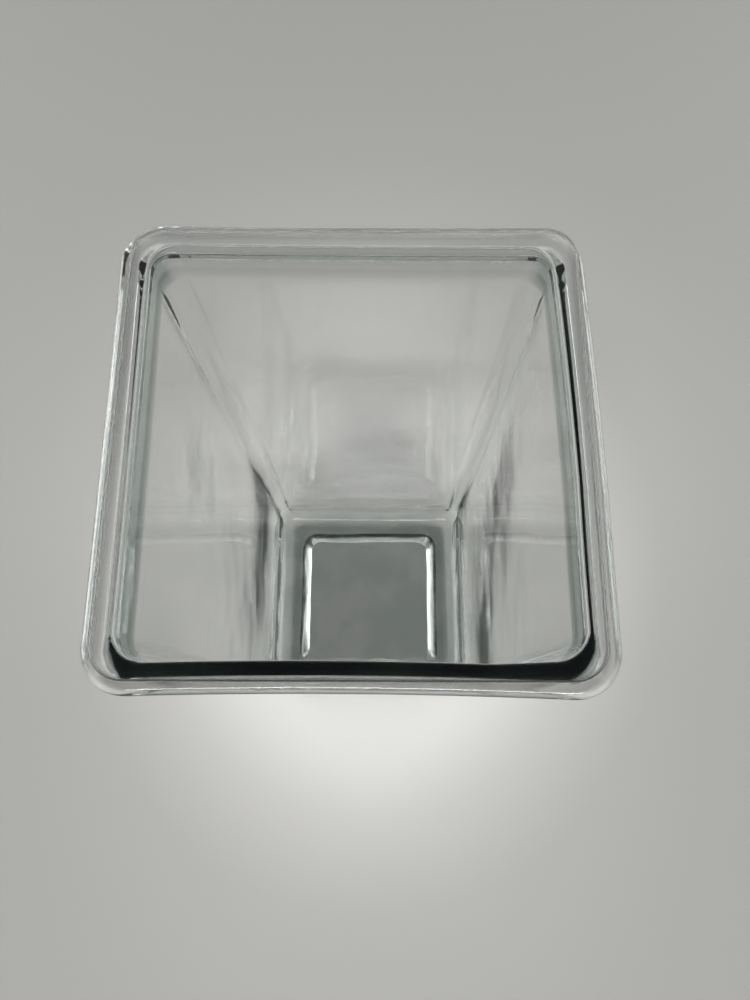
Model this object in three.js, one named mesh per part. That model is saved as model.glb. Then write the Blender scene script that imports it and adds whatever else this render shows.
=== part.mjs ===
// A museum specimen jar: a square pressed-glass jar with a flat flange round its mouth, and the loose glass
// plate that closes it. Millimetres, +Z up. The origin is the centre of the foot, on the surface that the jar
// stands on, and -Y is the front.
import * as THREE from 'three';

// Driving dimensions
const HEIGHT = 305;              // foot to flange face
const FLANGE_SIDE = 150;         // outside of the flange, the widest part of the jar
const BODY_SIDE = 136;           // outside of the walls just under the flange
const MOUTH_SIDE = 130;          // inside of the walls just under the lip
const TAPER = 1.2;               // how far each wall leans in between the flange and the foot
const INNER_DEPTH = 294;         // flange face to inner floor
const FLANGE_THICKNESS = 9;
const PLATE_SIDE = 140;          // cover plate, smaller than the flange it lies on
const PLATE_THICKNESS = 4;
const SEAT_GAP = 0.3;            // air and grease between the flange and the cover plate

// Corners seen from above
const FLANGE_CORNER = 14;
const BODY_CORNER = 9;
const MOUTH_CORNER = 9;
const PLATE_CORNER = 10;

// Rounded edges seen in section
const FLANGE_TOP_EDGE = 2;
const FLANGE_BOTTOM_EDGE = 2;
const LIP_EDGE = 1;
const NECK_REACH = 2.4;          // the long curve from the flange's underside down to the wall: how far it
const NECK_HEIGHT = 13;          // stands out from the wall, and how far down it runs
const FLOOR_FILLET = 10;
const HEEL_REACH = 14;           // the rounded heel under the walls: how far in and how far up it runs
const HEEL_HEIGHT = 20;
const PLATE_ARRIS = 0.5;

// Underside: a flat square foot round a square recess with sloping sides, with a round dimple in its middle
const RECESS_SIDE = 98;
const RECESS_DEPTH = 7;
const RECESS_DRAFT = 9;          // how far the recess narrows towards its flat top
const RECESS_CORNER = 10.5;
const RECESS_TOP_CORNER = 6;
const DIMPLE_RADIUS = 21;
const DIMPLE_DEPTH = 1;

// How finely the round stretches are divided
const STRAIGHT_STEPS = 2;        // along half of a side
const CORNER_STEPS = 8;          // round one corner
const EDGE_STEPS = 4;            // across one rounded edge
const NECK_STEPS = 6;            // down the neck curve
const HEEL_STEPS = 8;            // round the heel
const FLOOR_STEPS = 5;           // across the floor fillet
const DIMPLE_STEPS = 4;          // from the dimple's middle to its rim

const QUARTER = Math.PI / 2;

// One ring of a body of revolution made square: half its side, its height and its corner radius. A ring whose
// corner radius is left out is a plain circle.
function ring(half, z, corner = half) {
  return { half, z, corner };
}

// The rings of a quarter-round edge, from the angle `from` to the angle `to` round the centre (half, z). It is
// part of an ellipse where its height isn't the same as its radius.
function roundEdge({ half, z, radius, height = radius, from, to, corner, steps = EDGE_STEPS }) {
  const rings = [];
  for (let step = 0; step <= steps; step += 1) {
    const angle = from + (to - from) * (step / steps);
    rings.push(ring(half + radius * Math.cos(angle), z + height * Math.sin(angle), corner));
  }
  return rings;
}

// The point `step` steps through the first quarter turn of a rounded square, from the middle of its
// front side to the middle of its right side.
function quarterPoint(half, corner, step) {
  const straight = half - corner;
  if (step <= STRAIGHT_STEPS) {
    return [straight * (step / STRAIGHT_STEPS), -half];
  }
  const turned = step - STRAIGHT_STEPS;
  if (turned < CORNER_STEPS) {
    const angle = QUARTER * (turned / CORNER_STEPS - 1);
    return [straight + corner * Math.cos(angle), -straight + corner * Math.sin(angle)];
  }
  return [half, -straight * (1 - (turned - CORNER_STEPS) / STRAIGHT_STEPS)];
}

const QUARTER_STEPS = 2 * STRAIGHT_STEPS + CORNER_STEPS;
const TURN_STEPS = 4 * QUARTER_STEPS;

// The point `step` steps round a ring, counted anticlockwise from the middle of its front side.
function ringPoint({ half, corner }, step) {
  const quarter = Math.floor(step / QUARTER_STEPS);
  const turn = quarter * QUARTER;
  if (corner >= half) {
    const angle = QUARTER * (step / QUARTER_STEPS - 1);
    return [half * Math.cos(angle), half * Math.sin(angle)];
  }
  const [x, y] = quarterPoint(half, corner, step - quarter * QUARTER_STEPS);
  return [x * Math.cos(turn) - y * Math.sin(turn), x * Math.sin(turn) + y * Math.cos(turn)];
}

// A closed body from rings listed from the middle of its underside, up its outside and back to its axis. It is
// turned as a lathe body, and each ring is then laid out on its own rounded square.
function squareLathe(rings) {
  const profile = rings.map(({ half, z }) => new THREE.Vector2(half, z));
  const geometry = new THREE.LatheGeometry(profile, TURN_STEPS);
  geometry.rotateX(QUARTER);
  const position = geometry.attributes.position;
  for (let index = 0; index < position.count; index += 1) {
    const step = Math.floor(index / rings.length) % TURN_STEPS;
    const [x, y] = ringPoint(rings[index % rings.length], step);
    position.setXY(index, x, y);
  }
  geometry.computeVertexNormals();
  return geometry;
}

// The dimple pressed up into the middle of the underside, a shallow dome.
function dimpleRings() {
  const rings = [];
  for (let step = 0; step <= DIMPLE_STEPS; step += 1) {
    const share = step / DIMPLE_STEPS;
    const rise = DIMPLE_DEPTH * Math.cos(QUARTER * share) ** 2;
    rings.push(ring(DIMPLE_RADIUS * share, RECESS_DEPTH + rise));
  }
  return rings;
}

function jarRings() {
  const flange = FLANGE_SIDE / 2;
  const body = BODY_SIDE / 2;
  const mouth = MOUTH_SIDE / 2;
  const recess = RECESS_SIDE / 2;
  const foot = body - TAPER;
  const floorHalf = mouth - TAPER;
  const floorHeight = HEIGHT - INNER_DEPTH;
  const underFlange = HEIGHT - FLANGE_THICKNESS;
  return [
    ...dimpleRings(),
    ring(recess - RECESS_DRAFT, RECESS_DEPTH, RECESS_TOP_CORNER),
    ring(recess, 0, RECESS_CORNER),
    ...roundEdge({
      half: foot - HEEL_REACH, z: HEEL_HEIGHT, radius: HEEL_REACH, height: HEEL_HEIGHT,
      from: -QUARTER, to: 0, corner: BODY_CORNER, steps: HEEL_STEPS,
    }),
    ...roundEdge({
      half: body + NECK_REACH, z: underFlange - NECK_HEIGHT, radius: NECK_REACH, height: NECK_HEIGHT,
      from: 2 * QUARTER, to: QUARTER, corner: BODY_CORNER, steps: NECK_STEPS,
    }),
    ...roundEdge({
      half: flange - FLANGE_BOTTOM_EDGE, z: underFlange + FLANGE_BOTTOM_EDGE, radius: FLANGE_BOTTOM_EDGE,
      from: -QUARTER, to: 0, corner: FLANGE_CORNER,
    }).slice(1),
    ...roundEdge({
      half: flange - FLANGE_TOP_EDGE, z: HEIGHT - FLANGE_TOP_EDGE, radius: FLANGE_TOP_EDGE,
      from: 0, to: QUARTER, corner: FLANGE_CORNER,
    }),
    ...roundEdge({
      half: mouth + LIP_EDGE, z: HEIGHT - LIP_EDGE, radius: LIP_EDGE,
      from: QUARTER, to: 2 * QUARTER, corner: MOUTH_CORNER,
    }),
    ...roundEdge({
      half: floorHalf - FLOOR_FILLET, z: floorHeight + FLOOR_FILLET, radius: FLOOR_FILLET,
      from: 0, to: -QUARTER, corner: MOUTH_CORNER, steps: FLOOR_STEPS,
    }),
    ring(0, floorHeight),
  ];
}

function plateRings() {
  const half = PLATE_SIDE / 2;
  const bottom = HEIGHT + SEAT_GAP;
  const top = bottom + PLATE_THICKNESS;
  return [
    ring(0, bottom),
    ring(half - PLATE_ARRIS, bottom, PLATE_CORNER - PLATE_ARRIS),
    ring(half, bottom + PLATE_ARRIS, PLATE_CORNER),
    ring(half, top - PLATE_ARRIS, PLATE_CORNER),
    ring(half - PLATE_ARRIS, top, PLATE_CORNER - PLATE_ARRIS),
    ring(0, top),
  ];
}

function glassPiece(name, rings, color, roughness) {
  const material = new THREE.MeshStandardMaterial({ color, roughness, metalness: 0 });
  material.transparent = true;
  material.opacity = 0.35;
  const mesh = new THREE.Mesh(squareLathe(rings), material);
  mesh.name = name;
  return mesh;
}

const jarBody = glassPiece('jar_body', jarRings(), 0xb4b8b0, 0.05);
const coverPlate = glassPiece('cover_plate', plateRings(), 0xbcc4bc, 0.05);

const specimenJar = new THREE.Group();
specimenJar.name = 'specimen_jar';
specimenJar.add(jarBody, coverPlate);

export default specimenJar;
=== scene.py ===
import math

import bpy
from mathutils import Matrix, Vector, noise


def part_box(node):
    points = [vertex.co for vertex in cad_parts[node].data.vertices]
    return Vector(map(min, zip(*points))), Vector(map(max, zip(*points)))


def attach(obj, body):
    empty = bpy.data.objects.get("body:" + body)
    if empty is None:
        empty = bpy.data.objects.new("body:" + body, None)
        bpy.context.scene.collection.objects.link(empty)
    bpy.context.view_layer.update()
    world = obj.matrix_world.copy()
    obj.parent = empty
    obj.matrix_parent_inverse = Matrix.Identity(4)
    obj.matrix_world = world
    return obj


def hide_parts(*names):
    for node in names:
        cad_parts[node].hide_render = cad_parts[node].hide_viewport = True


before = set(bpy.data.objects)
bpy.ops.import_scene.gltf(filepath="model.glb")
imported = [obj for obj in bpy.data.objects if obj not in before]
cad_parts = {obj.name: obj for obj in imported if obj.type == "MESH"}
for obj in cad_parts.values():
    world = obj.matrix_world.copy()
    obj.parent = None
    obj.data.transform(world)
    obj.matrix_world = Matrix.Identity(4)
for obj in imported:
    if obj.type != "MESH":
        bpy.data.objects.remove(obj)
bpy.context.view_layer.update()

MM = 0.001
QUARTER = math.pi / 2

# ------------------------------------------------------------------ sizes in metres
_, JAR_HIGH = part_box("jar_body")
PLATE_LOW, PLATE_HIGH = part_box("cover_plate")
HEIGHT = JAR_HIGH.z
FLANGE_HALF = JAR_HIGH.x
PLATE_HALF = PLATE_HIGH.x

BODY_HALF = 68.0 * MM  # outside of the walls just under the neck
MOUTH_HALF = 65.0 * MM  # inside of the walls just under the lip
TAPER = 1.2 * MM  # how far each wall leans in between the flange and the foot
FLOOR_HEIGHT = 11.0 * MM  # inner floor above the surface the jar stands on
FLANGE_THICKNESS = 9.0 * MM
NECK_REACH = 2.4 * MM  # how far the neck curve stands out from the wall
NECK_HEIGHT = 13.0 * MM  # how far it runs down from the flange

FLANGE_CORNER = 14.0 * MM
BODY_CORNER = 8.0 * MM  # at the neck and the heel
BODY_CORNER_SWELL = 3.0 * MM  # how much softer it is half way up
MOUTH_CORNER = 9.0 * MM
PLATE_CORNER = 10.0 * MM
MOST_ROUND = 0.98  # the largest corner radius, as a share of half the side

FLANGE_TOP_EDGE = 2.0 * MM
FLANGE_BOTTOM_EDGE = 2.0 * MM
LIP_EDGE = 1.0 * MM
FLOOR_FILLET = 10.0 * MM
HEEL_REACH = 14.0 * MM  # how far in and how far up the rounded heel runs
HEEL_HEIGHT = 20.0 * MM
PLATE_ARRIS = 0.5 * MM

# The square recess in the underside, and the round dimple in its middle
RECESS_HALF = 49.0 * MM
RECESS_DEPTH = 7.0 * MM
RECESS_EDGE = 9.0 * MM  # how far in its sloping side runs
RECESS_CORNER = 6.0 * MM  # round its flat top
RECESS_CORNER_GROWTH = 0.5  # how fast that radius grows as the sloping side runs out
RAMP_EASE = 0.14  # how much of the sloping side is rounded at each end
DIMPLE_RADIUS = 21.0 * MM
DIMPLE_DEPTH = 1.0 * MM

# Pressed glass is never quite square. How far each side of the flange is drawn in at its first end, its
# middle and its last end, from left to right or from front to back. The mouth follows it, but for its front.
FRONT_PULL = (0.8 * MM, 2.0 * MM, 0.0)
RIGHT_PULL = (0.1 * MM, 0.2 * MM, 2.5 * MM)
BACK_PULL = (0.0, 1.0 * MM, 1.2 * MM)
LEFT_PULL = (1.0 * MM, 0.7 * MM, 0.0)
MOUTH_FRONT_PULL = (-0.1 * MM, 0.8 * MM, -1.1 * MM)
PULL_FADE = 4  # the higher, the sooner the pull of one side fades towards the sides next to it
HEEL_PULL = 0.2  # how much of the pull reaches the heel and the floor fillet

# It is never quite smooth either. The height of its broad waves, and the size of both kinds
WALL_WAVE = 0.4 * MM
HEEL_WAVE = 0.15 * MM
FLOOR_WAVE = 0.25 * MM
RECESS_WAVE = 0.45 * MM
BROAD_WAVE_SIZE = 50.0 * MM
BROAD_WAVE_SQUASH = 0.6  # below 1, the broad waves are longer up the walls than along them
FINE_WAVE_SIZE = 14.0 * MM
FINE_WAVE_SHARE = 0.1  # height of the fine waves, as a share of the broad ones
UNDERSIDE_FINE_SHARE = 1.6
WAVE_SINK = 0.3  # holds the waves back, as a share of their height, so that few of them stand proud
WAVE_SEED = 3.1

# ------------------------------------------------------------------ how finely the shapes are divided
STRAIGHT_STEPS = 14  # along half of a side
CORNER_STEPS = 16  # round one corner
RING_STEPS = 4 * (2 * STRAIGHT_STEPS + CORNER_STEPS)
EDGE_STEPS = 8  # across one rounded edge
NECK_STEPS = 14
HEEL_STEPS = 20
COVE_STEPS = 16  # round the floor fillet
WALL_STEPS = 60  # up one wall
FLOOR_STEPS = 12  # from the floor fillet to the middle of the floor
RECESS_STEPS = 10  # across the dimple, and again across the flat round it
RAMP_STEPS = 20  # across the recess's sloping side
SHARP_ANGLE = math.radians(30)  # edges of the cover plate that turn more than this look crisp

# ------------------------------------------------------------------ surfaces; scales are features per metre
GLASS_IOR = 1.52
JAR_ABSORPTION = (15.5, 13.4, 14.2)  # how much red, green and blue each metre of the glass takes off
PLATE_ABSORPTION = (3.5, 2.6, 3.0)
NOISE_SPAN = (0.3, 0.7)  # the range that most of a noise lies in

GROUND_FADE = 0.25 * MM  # how far below the flange face the grinding fades out
GROUND_START = 1.5 * MM  # how far out from the mouth the grinding starts, and where it is even
GROUND_FULL = 4.5 * MM
GROUND_ROUGHNESS = (0.06, 0.18)
GROUND_COLOUR = (0.44, 0.43, 0.43, 1.0)  # the grinding scatters some of the light out of sight
SCRATCH_STRETCH = 30.0  # how much finer the scratches are across than along
SCRATCH_SCALE = 40.0
SCRATCH_DEPTH = 0.008 * MM

# Painted shade: the darker, greener colour laid over the inside of the neck
NECK_PAINTED_SHADE_COLOUR = (0.40, 0.47, 0.44, 1.0)
NECK_SHADE_END = 17.0 * MM  # how far below the flange face the painted shade inside the neck ends
NECK_SHADE_FULL = 14.0 * MM
NECK_SHADE_BACK = 0.25  # how much of it there is on the front and back
SIDE_FACING = (0.3, 0.8)  # how squarely to the left or right a face looks where the shade starts and is full
INSIDE_FADE = 20.0 * MM  # how soft the change is between the faces that look in and those that look out

SMUDGE_SCALE = 25.0
SMUDGE_ROUGHNESS = (0.02, 0.06)
RIPPLE_SCALE = 110.0
RIPPLE_DEPTH = 0.03 * MM

UNDERSIDE_TOP = 10.0 * MM  # below the inner floor and above the top of the recess
UNDERSIDE_FADE = 1.5 * MM
PRESSED_SCALE = 300.0
PRESSED_ROUGHNESS = (0.11, 0.20)
FILM_SCALE = 45.0  # a thin film on the underside, in patches
FILM_SPAN = (0.35, 0.65)
FILM_COLOUR = (0.80, 0.86, 0.85, 1.0)

EDGE_FACING = (0.8, 0.98)  # how squarely up or down a face of the plate looks where its ground edge fades out
EDGE_GRAIN_SCALE = 2500.0
EDGE_GRAIN_DEPTH = 0.02 * MM
EDGE_ROUGHNESS = (0.4, 0.6)

# ------------------------------------------------------------------ floor and sky
# A painted pool of light on the floor: how pale the floor is at a distance in metres from the centre of the
# pool, so that it falls off as in a vignette
FLOOR_PAINTED_POOL = (
    (0.05, 0.80), (0.10, 0.80), (0.15, 0.65), (0.19, 0.49), (0.25, 0.36), (0.40, 0.32), (0.70, 0.32),
)
POOL_CENTRE_Y = 0.045  # the centre of the painted pool of light lies behind the jar's own
POOL_SQUEEZE = 1.15  # the painted pool of light runs out this much sooner to the left and right
FLOOR_TINT = (1.0, 0.995, 0.965)
FLOOR_ROUGHNESS = 0.7
FLOOR_REACH = 3.0
FLOOR_DROP = 0.2 * MM  # keeps the floor clear of the foot

HORIZON_GLOW = (0.76, 0.755, 0.72, 1.0)
CEILING = (0.035, 0.035, 0.04, 1.0)
HORIZON_TOP = 0.45  # sine of the elevation where the glow starts to fade
CEILING_START = 0.9  # and where it is gone

# ------------------------------------------------------------------ camera
EYE = Vector((8.8 * MM, -77.8 * MM, HEIGHT + 190.9 * MM))
TILT = math.radians(14.82)  # from straight down towards +Y
HEADING = math.radians(1.1)
ROLL = math.radians(-0.95)
LENS = 24.95
SENSOR_WIDTH = 36.0
SHIFT_X = -0.0029
SHIFT_Y = 0.0292
CLIP_START = 5.0 * MM

# Light passes many surfaces of glass before it leaves the jar
GLASS_BOUNCES = 24
GLOSSY_BOUNCES = 16
BRIGHTEST_INDIRECT = 10.0  # keeps stray bright specks out


def make_camera():
    data = bpy.data.cameras.new("camera")
    data.lens = LENS
    data.sensor_width = SENSOR_WIDTH
    data.shift_x = SHIFT_X
    data.shift_y = SHIFT_Y
    data.clip_start = CLIP_START
    camera = bpy.data.objects.new("camera", data)
    bpy.context.scene.collection.objects.link(camera)
    turn = Matrix.Rotation(HEADING, 4, "Z") @ Matrix.Rotation(TILT, 4, "X") @ Matrix.Rotation(ROLL, 4, "Z")
    camera.matrix_world = Matrix.Translation(EYE) @ turn
    bpy.context.scene.camera = camera


# ------------------------------------------------------------------ outlines seen from above
def square_outline(half, corner):
    """Points round a rounded square, anticlockwise from the middle of its front side."""
    straight = half - corner
    points = []
    for quarter in range(4):
        turn = Matrix.Rotation(quarter * QUARTER, 2)
        for step in range(STRAIGHT_STEPS):
            points.append(turn @ Vector((straight * step / STRAIGHT_STEPS, -half)))
        for step in range(CORNER_STEPS):
            angle = QUARTER * (step / CORNER_STEPS - 1)
            along = straight + corner * math.cos(angle)
            across = -straight + corner * math.sin(angle)
            points.append(turn @ Vector((along, across)))
        for step in range(STRAIGHT_STEPS):
            points.append(turn @ Vector((half, -straight * (1 - step / STRAIGHT_STEPS))))
    return points


def circle_outline(radius):
    angles = [2 * math.pi * step / RING_STEPS - QUARTER for step in range(RING_STEPS)]
    return [Vector((radius * math.cos(angle), radius * math.sin(angle))) for angle in angles]


def side_pull(place, pulls):
    """The pull at a place along a side, from -1 at its first end to 1 at its last."""
    first, middle, last = pulls
    ends = first * (1 - place) / 2 + last * (1 + place) / 2
    return ends + (middle - (first + last) / 2) * (1 - place * place)


def pulled_in(point, half, share, mouth):
    """A point of an outline, moved by the uneven pull of each side. `mouth` is 1 where the front side follows
    the mouth's pull and 0 where it follows the flange's."""
    if half == 0.0 or share == 0.0:
        return point
    across, along = point.x / half, point.y / half
    front = side_pull(across, FRONT_PULL) * (1 - mouth) + side_pull(across, MOUTH_FRONT_PULL) * mouth
    pull_y = front if along < 0 else side_pull(across, BACK_PULL)
    pull_x = side_pull(along, LEFT_PULL if across < 0 else RIGHT_PULL)
    return Vector((
        point.x - math.copysign(pull_x * share * across ** PULL_FADE, across),
        point.y - math.copysign(pull_y * share * along ** PULL_FADE, along),
    ))


# ------------------------------------------------------------------ sections
def ring(half, z, corner=0.0, squareness=1.0, wave=0.0, pull=1.0, mouth=0.0):
    """One level of a body turned on the Z axis and made square, with the height of its waves and how much of
    the sides' pull it has."""
    return {
        "half": half, "z": z, "corner": corner, "squareness": squareness,
        "wave": wave, "pull": pull, "mouth": mouth,
    }


def round_edge(half, z, radius, start, end, corner, height=None, steps=EDGE_STEPS):
    """Rings across a rounded edge centred on (half, z), an ellipse where its height isn't its radius."""
    height = radius if height is None else height
    rings = []
    for step in range(steps + 1):
        angle = start + (end - start) * step / steps
        rings.append(ring(half + radius * math.cos(angle), z + height * math.sin(angle), corner))
    return rings


def between(low, high, steps):
    """The rings strictly between two rings."""
    rings = []
    for step in range(1, steps):
        share = step / steps
        rings.append({key: low[key] + (high[key] - low[key]) * share for key in low})
    return rings


def ring_points(level):
    half = level["half"]
    points = circle_outline(half)
    if level["squareness"] > 0.0:
        square = square_outline(half, min(level["corner"], half * MOST_ROUND))
        points = [point.lerp(target, level["squareness"]) for point, target in zip(points, square)]
    return [pulled_in(point, half, level["pull"], level["mouth"]) for point in points]


def lathe_mesh(name, rings):
    """A closed mesh from rings listed from the middle of its underside, up its outside and back to its axis.
    The first and the last ring are single points. Returns the mesh and each point's wave."""
    verts = [(0.0, 0.0, rings[0]["z"])]
    waves = [rings[0]["wave"]]
    for level in rings[1:-1]:
        verts += [(point.x, point.y, level["z"]) for point in ring_points(level)]
        waves += [level["wave"]] * RING_STEPS
    verts.append((0.0, 0.0, rings[-1]["z"]))
    waves.append(rings[-1]["wave"])
    last = len(verts) - 1
    faces = []
    for step in range(RING_STEPS):
        after = (step + 1) % RING_STEPS
        faces.append((0, 1 + after, 1 + step))
        for row in range(len(rings) - 3):
            low = 1 + row * RING_STEPS
            high = low + RING_STEPS
            faces.append((low + step, low + after, high + after, high + step))
        top = last - RING_STEPS
        faces.append((top + step, top + after, last))
    mesh = bpy.data.meshes.new(name)
    mesh.from_pydata(verts, [], faces)
    mesh.update()
    mesh.shade_smooth()
    return mesh, waves


def add_waves(mesh, waves):
    """Moves each point along its normal by the uneven flow of pressed glass."""
    normals = [vert.normal.copy() for vert in mesh.vertices]
    for vert, normal, wave in zip(mesh.vertices, normals, waves):
        if wave == 0.0:
            continue
        place = vert.co / BROAD_WAVE_SIZE + Vector((WAVE_SEED, 0, 0))
        broad = noise.noise(Vector((place.x, place.y, place.z * BROAD_WAVE_SQUASH)))
        fine = noise.noise(vert.co / FINE_WAVE_SIZE + Vector((0, WAVE_SEED, 0)))
        fine_share = UNDERSIDE_FINE_SHARE if vert.co.z < UNDERSIDE_TOP else FINE_WAVE_SHARE
        vert.co += normal * wave * (broad + fine_share * fine - WAVE_SINK)


# ------------------------------------------------------------------ jar body
def eased(share):
    """A straight ramp from 0 to 1 with a soft start and a soft end."""
    if share < RAMP_EASE:
        return share * share / (2 * RAMP_EASE * (1 - RAMP_EASE))
    if share > 1 - RAMP_EASE:
        return 1 - (1 - share) ** 2 / (2 * RAMP_EASE * (1 - RAMP_EASE))
    return (share - RAMP_EASE / 2) / (1 - RAMP_EASE)


def underside_rings():
    """The dimple, the flat of the recess round it and the recess's sloping side."""
    rings = []
    for step in range(RECESS_STEPS):
        share = step / RECESS_STEPS
        rise = DIMPLE_DEPTH * math.cos(QUARTER * share) ** 2
        rings.append(ring(DIMPLE_RADIUS * share, RECESS_DEPTH + rise, squareness=0.0, pull=0.0))
    flat = RECESS_HALF - RECESS_EDGE
    for step in range(RECESS_STEPS):
        share = step / RECESS_STEPS
        half = DIMPLE_RADIUS + (flat - DIMPLE_RADIUS) * share
        rings.append(ring(half, RECESS_DEPTH, RECESS_CORNER, share, RECESS_WAVE * share, 0.0))
    for step in range(RAMP_STEPS + 1):
        share = step / RAMP_STEPS
        height = RECESS_DEPTH * (1 - eased(share))
        corner = RECESS_CORNER + RECESS_EDGE * share * RECESS_CORNER_GROWTH
        wave = RECESS_WAVE * (1 - share ** 3)
        rings.append(ring(flat + RECESS_EDGE * share, height, corner, wave=wave, pull=0.0))
    return rings


def outside_rings():
    """From the foot, up the outside of the walls and round the flange to its flat face."""
    foot = BODY_HALF - TAPER
    under = HEIGHT - FLANGE_THICKNESS
    heel = round_edge(
        foot - HEEL_REACH, HEEL_HEIGHT, HEEL_REACH, -QUARTER, 0.0, BODY_CORNER, HEEL_HEIGHT, HEEL_STEPS,
    )
    for step, level in enumerate(heel):
        level["pull"] = HEEL_PULL
        level["wave"] = HEEL_WAVE if step >= HEEL_STEPS // 2 else 0.0
    neck = round_edge(
        BODY_HALF + NECK_REACH, under - NECK_HEIGHT, NECK_REACH, math.pi, QUARTER, BODY_CORNER,
        NECK_HEIGHT, NECK_STEPS,
    )
    for step, level in enumerate(neck):
        level["mouth"] = 1 - step / NECK_STEPS
    wall = between(heel[-1], neck[0], WALL_STEPS)
    for step, level in enumerate(wall):
        middle = math.sin(math.pi * (step + 1) / WALL_STEPS)
        level["corner"] += BODY_CORNER_SWELL * middle
        level["wave"] += WALL_WAVE * middle
    flange_bottom = round_edge(
        FLANGE_HALF - FLANGE_BOTTOM_EDGE, under + FLANGE_BOTTOM_EDGE, FLANGE_BOTTOM_EDGE,
        -QUARTER, 0.0, FLANGE_CORNER,
    )
    flange_top = round_edge(
        FLANGE_HALF - FLANGE_TOP_EDGE, HEIGHT - FLANGE_TOP_EDGE, FLANGE_TOP_EDGE,
        0.0, QUARTER, FLANGE_CORNER,
    )
    return heel + wall + neck + flange_bottom + flange_top


def inside_rings():
    """From the flange's flat face, over the lip, down the inside of the walls and across the floor."""
    floor_half = MOUTH_HALF - TAPER
    lip = round_edge(
        MOUTH_HALF + LIP_EDGE, HEIGHT - LIP_EDGE, LIP_EDGE, QUARTER, math.pi, MOUTH_CORNER,
    )
    for level in lip:
        level["mouth"] = 1.0
    cove = round_edge(
        floor_half - FLOOR_FILLET, FLOOR_HEIGHT + FLOOR_FILLET, FLOOR_FILLET, 0.0, -QUARTER,
        MOUTH_CORNER, steps=COVE_STEPS,
    )
    for level in cove:
        level["pull"] = HEEL_PULL
        level["wave"] = HEEL_WAVE
    wall = between(lip[-1], cove[0], WALL_STEPS)
    for step, level in enumerate(wall):
        level["wave"] += WALL_WAVE * math.sin(math.pi * (step + 1) / WALL_STEPS)
    floor = []
    for step in range(FLOOR_STEPS - 1, -1, -1):
        share = step / FLOOR_STEPS
        floor.append(ring(cove[-1]["half"] * share, FLOOR_HEIGHT, MOUTH_CORNER, share, FLOOR_WAVE, 0.0))
    return lip + wall + cove + floor


# ------------------------------------------------------------------ cover plate
def plate_rings():
    inner = PLATE_HALF - PLATE_ARRIS
    corner = PLATE_CORNER - PLATE_ARRIS
    low, high = PLATE_LOW.z, PLATE_HIGH.z
    return [
        ring(0.0, low, pull=0.0),
        ring(inner, low, corner, pull=0.0),
        ring(PLATE_HALF, low + PLATE_ARRIS, PLATE_CORNER, pull=0.0),
        ring(PLATE_HALF, high - PLATE_ARRIS, PLATE_CORNER, pull=0.0),
        ring(inner, high, corner, pull=0.0),
        ring(0.0, high, pull=0.0),
    ]


# ------------------------------------------------------------------ shader nodes
def add_node(tree, kind, *links, **settings):
    """A new shader node. Each link is (input, what goes in): another node's output, or a plain value."""
    made = tree.nodes.new(kind)
    for name, value in settings.items():
        setattr(made, name, value)
    for name, source in links:
        if isinstance(source, bpy.types.NodeSocket):
            tree.links.new(source, made.inputs[name])
        else:
            made.inputs[name].default_value = source
    return made


def math_node(tree, operation, first, second=0.0):
    return add_node(tree, "ShaderNodeMath", (0, first), (1, second), operation=operation).outputs[0]


def vector_node(tree, operation, first, second=(0, 0, 0)):
    """The outputs of a new vector node. A distance or a dot product is its "Value", and any other result its
    "Vector"."""
    return add_node(tree, "ShaderNodeVectorMath", (0, first), (1, second), operation=operation).outputs


def split(tree, vector):
    return add_node(tree, "ShaderNodeSeparateXYZ", ("Vector", vector)).outputs


def stretch(tree, value, low, high, out_low=0.0, out_high=1.0):
    """`value` between `low` and `high`, as a soft step from `out_low` to `out_high`."""
    mapped = add_node(
        tree, "ShaderNodeMapRange", ("Value", value), ("From Min", low), ("From Max", high),
        ("To Min", out_low), ("To Max", out_high), interpolation_type="SMOOTHSTEP",
    )
    return mapped.outputs["Result"]


def noise_node(tree, place, scale, detail=2.0):
    made = add_node(tree, "ShaderNodeTexNoise", ("Vector", place), ("Scale", scale), ("Detail", detail))
    return made.outputs["Fac"]


def colour_ramp(tree, factor, stops, interpolation="LINEAR"):
    """The colour at `factor` along a ramp. Each stop is (position, colour)."""
    made = add_node(tree, "ShaderNodeValToRGB", ("Fac", factor))
    ramp = made.color_ramp
    ramp.interpolation = interpolation
    while len(ramp.elements) < len(stops):
        ramp.elements.new(0.5)
    for element, (position, colour) in zip(ramp.elements, stops):
        element.position = position
        element.color = colour
    return made.outputs["Color"]


def tinted(tree, *tints):
    """The colour that tints laid over one another leave. Each is (how much of it there is, its colour)."""
    colour = (1, 1, 1)
    for amount, tint in tints:
        laid = colour_ramp(tree, amount, ((0.0, (1, 1, 1, 1)), (1.0, tint)))
        colour = vector_node(tree, "MULTIPLY", colour, laid)["Vector"]
    return colour


def bumped(tree, height, depth, normal=None):
    """Normals of a surface whose height goes from 0 to `depth` metres as `height` goes from 0 to 1."""
    links = [("Height", height), ("Distance", depth), ("Strength", 1.0)]
    if normal is not None:
        links.append(("Normal", normal))
    return add_node(tree, "ShaderNodeBump", *links).outputs["Normal"]


# ------------------------------------------------------------------ glass
def glass(name, taken):
    """Clear glass. `taken` is how much red, green and blue each metre of it takes off."""
    material = bpy.data.materials.new(name)
    material.use_nodes = True
    tree = material.node_tree
    shader = tree.nodes["Principled BSDF"]
    shader.inputs["Base Color"].default_value = (1, 1, 1, 1)
    shader.inputs["IOR"].default_value = GLASS_IOR
    shader.inputs["Transmission Weight"].default_value = 1.0
    density = max(taken)
    absorption = add_node(
        tree, "ShaderNodeVolumeAbsorption", ("Color", (*[1 - loss / density for loss in taken], 1)),
        ("Density", density),
    )
    tree.links.new(absorption.outputs["Volume"], tree.nodes["Material Output"].inputs["Volume"])
    return material, tree, shader


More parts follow.
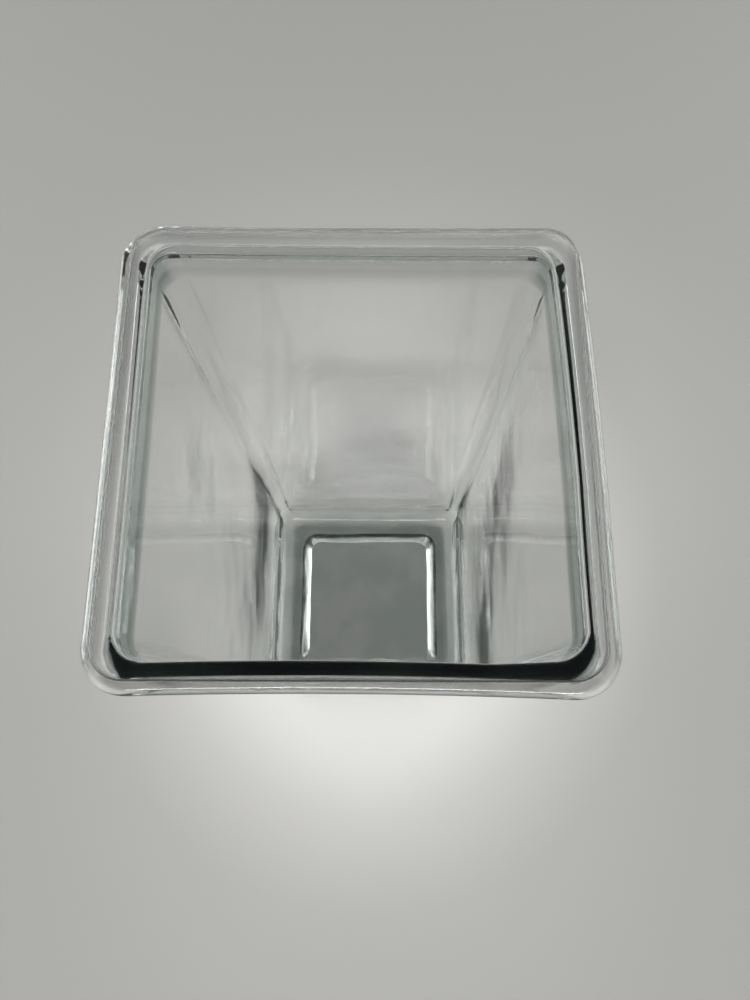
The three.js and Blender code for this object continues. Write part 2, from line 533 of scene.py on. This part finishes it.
def flange_grinding(tree, axes):
    """Where the flange face is ground, and the fine scratches that run along each of its sides."""
    outward = math_node(
        tree, "MAXIMUM", math_node(tree, "ABSOLUTE", axes["X"]), math_node(tree, "ABSOLUTE", axes["Y"]),
    )
    ground = math_node(
        tree, "MULTIPLY", stretch(tree, axes["Z"], HEIGHT - GROUND_FADE, HEIGHT),
        stretch(tree, outward, MOUTH_HALF + GROUND_START, MOUTH_HALF + GROUND_FULL),
    )
    along = add_node(
        tree, "ShaderNodeCombineXYZ", ("X", math_node(tree, "MULTIPLY", outward, SCRATCH_STRETCH)),
        ("Y", axes["X"]), ("Z", axes["Y"]),
    ).outputs["Vector"]
    return ground, noise_node(tree, along, SCRATCH_SCALE, detail=3.0)


def painted_neck_shade(tree, place, axes):
    """Where a painted shade makes the inside of the neck darker and greener, standing in for the light that
    is caught in the thick glass behind it. The painted shade is strongest on the left and right sides."""
    facing = add_node(tree, "ShaderNodeNewGeometry").outputs["Normal"]
    outwards = vector_node(tree, "DOT_PRODUCT", facing, place)["Value"]
    inside = stretch(tree, outwards, -INSIDE_FADE, 0.0, 1.0, 0.0)
    above = stretch(tree, axes["Z"], HEIGHT - NECK_SHADE_END, HEIGHT - NECK_SHADE_FULL)
    sideways = split(tree, vector_node(tree, "ABSOLUTE", facing)["Vector"])["X"]
    side_share = stretch(tree, sideways, *SIDE_FACING, NECK_SHADE_BACK, 1.0)
    return math_node(tree, "MULTIPLY", math_node(tree, "MULTIPLY", inside, above), side_share)


def jar_glass():
    """Fire-polished pressed glass with a soft ripple, a flange face that was ground flat, and an underside
    that the mould left a little rough."""
    material, tree, shader = glass("jar_glass", JAR_ABSORPTION)
    place = add_node(tree, "ShaderNodeTexCoord").outputs["Object"]
    axes = split(tree, place)
    ground, scratches = flange_grinding(tree, axes)
    underside = stretch(tree, axes["Z"], UNDERSIDE_TOP - UNDERSIDE_FADE, UNDERSIDE_TOP, 1.0, 0.0)

    smudges = stretch(tree, noise_node(tree, place, SMUDGE_SCALE), *NOISE_SPAN, *SMUDGE_ROUGHNESS)
    scratched = stretch(tree, scratches, *NOISE_SPAN, *GROUND_ROUGHNESS)
    pressed = stretch(
        tree, noise_node(tree, place, PRESSED_SCALE, detail=4.0), *NOISE_SPAN, *PRESSED_ROUGHNESS,
    )
    roughness = math_node(tree, "ADD", smudges, math_node(tree, "MULTIPLY", ground, scratched))
    roughness = math_node(tree, "ADD", roughness, math_node(tree, "MULTIPLY", underside, pressed))
    tree.links.new(roughness, shader.inputs["Roughness"])

    patches = stretch(tree, noise_node(tree, place, FILM_SCALE, detail=3.0), *FILM_SPAN)
    film = math_node(tree, "MULTIPLY", underside, patches)
    # painted shade inside the neck, darker and greener, strongest on the left and right
    painted_shade = painted_neck_shade(tree, place, axes)
    colour = tinted(tree, (ground, GROUND_COLOUR), (painted_shade, NECK_PAINTED_SHADE_COLOUR), (film, FILM_COLOUR))
    tree.links.new(colour, shader.inputs["Base Color"])

    normal = bumped(tree, noise_node(tree, place, RIPPLE_SCALE), RIPPLE_DEPTH)
    normal = bumped(tree, math_node(tree, "MULTIPLY", ground, scratches), SCRATCH_DEPTH, normal)
    tree.links.new(normal, shader.inputs["Normal"])
    return material


def plate_glass():
    """Polished plate glass with ground edges."""
    material, tree, shader = glass("plate_glass", PLATE_ABSORPTION)
    place = add_node(tree, "ShaderNodeTexCoord").outputs["Object"]
    facing = add_node(tree, "ShaderNodeNewGeometry").outputs["Normal"]
    upright = math_node(tree, "ABSOLUTE", split(tree, facing)["Z"])
    edge = stretch(tree, upright, *EDGE_FACING, 1.0, 0.0)
    grain = noise_node(tree, place, EDGE_GRAIN_SCALE, detail=3.0)
    roughness = math_node(tree, "MULTIPLY", edge, stretch(tree, grain, *NOISE_SPAN, *EDGE_ROUGHNESS))
    tree.links.new(roughness, shader.inputs["Roughness"])
    normal = bumped(tree, math_node(tree, "MULTIPLY", edge, grain), EDGE_GRAIN_DEPTH)
    tree.links.new(normal, shader.inputs["Normal"])
    return material


# ------------------------------------------------------------------ pieces
def add_object(name, mesh, material):
    mesh.materials.append(material)
    obj = bpy.data.objects.new(name, mesh)
    bpy.context.scene.collection.objects.link(obj)
    return obj


def piece(name, mesh, material, body, node):
    obj = add_object(name, mesh, material)
    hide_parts(node)
    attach(obj, body)


def make_jar():
    mesh, waves = lathe_mesh("glass_jar", underside_rings() + outside_rings() + inside_rings())
    add_waves(mesh, waves)
    piece("glass_jar", mesh, jar_glass(), "jar", "jar_body")


def make_plate():
    mesh, _ = lathe_mesh("glass_plate", plate_rings())
    mesh.set_sharp_from_angle(angle=SHARP_ANGLE)
    piece("glass_plate", mesh, plate_glass(), "cover", "cover_plate")


# ------------------------------------------------------------------ studio
def floor_material():
    material = bpy.data.materials.new("floor")
    material.use_nodes = True
    tree = material.node_tree
    shader = tree.nodes["Principled BSDF"]
    shader.inputs["Roughness"].default_value = FLOOR_ROUGHNESS
    place = add_node(tree, "ShaderNodeTexCoord").outputs["Object"]
    squeezed = vector_node(tree, "MULTIPLY", place, (POOL_SQUEEZE, 1, 1))["Vector"]
    distance = vector_node(tree, "DISTANCE", squeezed, (0, POOL_CENTRE_Y, 0))["Value"]
    # The floor's colour carries a painted pool of light, palest round the jar and darker further out
    stops = [(at, (*[painted_shade * tint for tint in FLOOR_TINT], 1)) for at, painted_shade in FLOOR_PAINTED_POOL]
    tree.links.new(colour_ramp(tree, distance, stops, "B_SPLINE"), shader.inputs["Base Color"])
    return material


def make_floor():
    corners = [
        (x * FLOOR_REACH, y * FLOOR_REACH, -FLOOR_DROP) for x, y in ((-1, -1), (1, -1), (1, 1), (-1, 1))
    ]
    mesh = bpy.data.meshes.new("floor")
    mesh.from_pydata(corners, [], [(0, 1, 2, 3)])
    floor = add_object("floor", mesh, floor_material())


def make_world():
    """A dim studio: a pale ring of light near the horizon under a dark ceiling."""
    world = bpy.data.worlds.new("studio")
    bpy.context.scene.world = world
    world.use_nodes = True
    tree = world.node_tree
    direction = add_node(tree, "ShaderNodeTexCoord").outputs["Generated"]
    stops = ((HORIZON_TOP, HORIZON_GLOW), (CEILING_START, CEILING))
    glow = colour_ramp(tree, split(tree, direction)["Z"], stops, "EASE")
    tree.links.new(glow, tree.nodes["Background"].inputs["Color"])


def area_light(name, place, aim, size, power):
    data = bpy.data.lights.new(name, "AREA")
    data.shape = "RECTANGLE"
    data.size, data.size_y = size
    data.energy = power
    light = bpy.data.objects.new(name, data)
    light.location = place
    light.rotation_mode = "QUATERNION"
    light.rotation_quaternion = (Vector(aim) - Vector(place)).to_track_quat("-Z", "Y")
    light.visible_camera = False
    bpy.context.scene.collection.objects.link(light)


make_camera()
make_jar()
make_plate()
make_floor()
make_world()
area_light("side_left", place=(-1.55, 0.45, 0.6), aim=(0, 0, 0.2), size=(1.5, 0.9), power=12)
area_light("side_right", place=(1.55, 0.55, 0.6), aim=(0, 0, 0.2), size=(1.5, 0.9), power=12)
area_light("overhead", place=(0.0, -0.95, 2.4), aim=(0, 0, 0.1), size=(1.8, 0.4), power=46)

scene = bpy.context.scene
scene.view_settings.view_transform = "Standard"
scene.cycles.max_bounces = GLASS_BOUNCES
scene.cycles.transmission_bounces = GLASS_BOUNCES
scene.cycles.glossy_bounces = GLOSSY_BOUNCES
scene.cycles.sample_clamp_indirect = BRIGHTEST_INDIRECT
